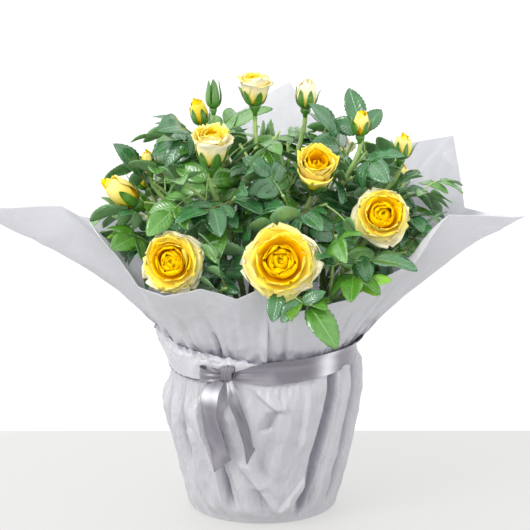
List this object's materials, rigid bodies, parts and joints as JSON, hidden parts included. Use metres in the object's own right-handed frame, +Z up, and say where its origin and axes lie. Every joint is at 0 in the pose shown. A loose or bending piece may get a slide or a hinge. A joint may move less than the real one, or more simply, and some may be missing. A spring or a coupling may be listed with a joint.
{
  "type": "potted miniature rose bush in gift wrap",
  "caption": "Bushy miniature rose in bloom, in a round pot wrapped in flared paper tied with a ribbon, for a table or windowsill.",
  "frame": {"origin": "middle of the flat underside of the wrapped pot, on the surface it stands on", "axes": "+Z up, -Y towards the front, where the large bloom and the ribbon's knot are, +X to the right as seen from the front"},
  "size_m": [0.3856, 0.2545, 0.3137],
  "materials": {
    "pot_plastic": "plain matt brown thin-walled plant pot",
    "compost": "dark crumbly potting compost",
    "wrapping_paper": "crumpled silver-white crepe wrapping paper with a soft sheen",
    "satin_ribbon": "grey double-faced satin ribbon",
    "rose_bark": "green-brown young rose bark with thorns",
    "green_stem": "smooth green stem",
    "rose_leaf": "glossy dark green leaves",
    "rose_petal": "soft yellow petals, cream at their edges"
  },
  "bodies": {
    "root": {"pot": "pot_plastic", "compost": "compost", "wrap_skirt": "wrapping_paper", "collar_right": "wrapping_paper", "collar_right_rear": "wrapping_paper", "collar_rear": "wrapping_paper", "collar_left_rear": "wrapping_paper", "collar_left": "wrapping_paper", "collar_front": "wrapping_paper", "wrap_cuff": "wrapping_paper", "ribbon_band": "satin_ribbon", "ribbon_knot": "satin_ribbon", "ribbon_tail_long": "satin_ribbon", "ribbon_tail_short": "satin_ribbon", "stem_foot": "rose_bark", "cane_1": "rose_bark", "cane_2": "rose_bark", "cane_3": "rose_bark", "cane_4": "rose_bark", "cane_5": "rose_bark", "cane_6": "rose_bark", "cane_7": "rose_bark", "bough_front": "green_stem", "bough_front_left": "green_stem", "bough_left": "green_stem", "bough_left_high": "green_stem", "bough_upper_left": "green_stem", "bough_top_left": "green_stem", "bough_top": "green_stem", "bough_top_right": "green_stem", "bough_middle": "green_stem", "bough_right_high": "green_stem", "bough_right_tip": "green_stem", "bough_right": "green_stem", "bough_front_right": "green_stem", "bough_rear_left": "green_stem", "bough_rear": "green_stem", "bough_rear_right": "green_stem", "bough_right_rear": "green_stem", "bough_left_rear": "green_stem", "foliage_front": "rose_leaf", "foliage_front_left": "rose_leaf", "foliage_left": "rose_leaf", "foliage_left_high": "rose_leaf", "foliage_upper_left": "rose_leaf", "foliage_top_left": "rose_leaf", "foliage_top": "rose_leaf", "foliage_top_right": "rose_leaf", "foliage_middle": "rose_leaf", "foliage_right_high": "rose_leaf", "foliage_right_tip": "rose_leaf", "foliage_right": "rose_leaf", "foliage_front_right": "rose_leaf", "foliage_rear_left": "rose_leaf", "foliage_rear": "rose_leaf", "foliage_rear_right": "rose_leaf", "foliage_right_rear": "rose_leaf", "foliage_left_rear": "rose_leaf"}
  },
  "joints": []
}
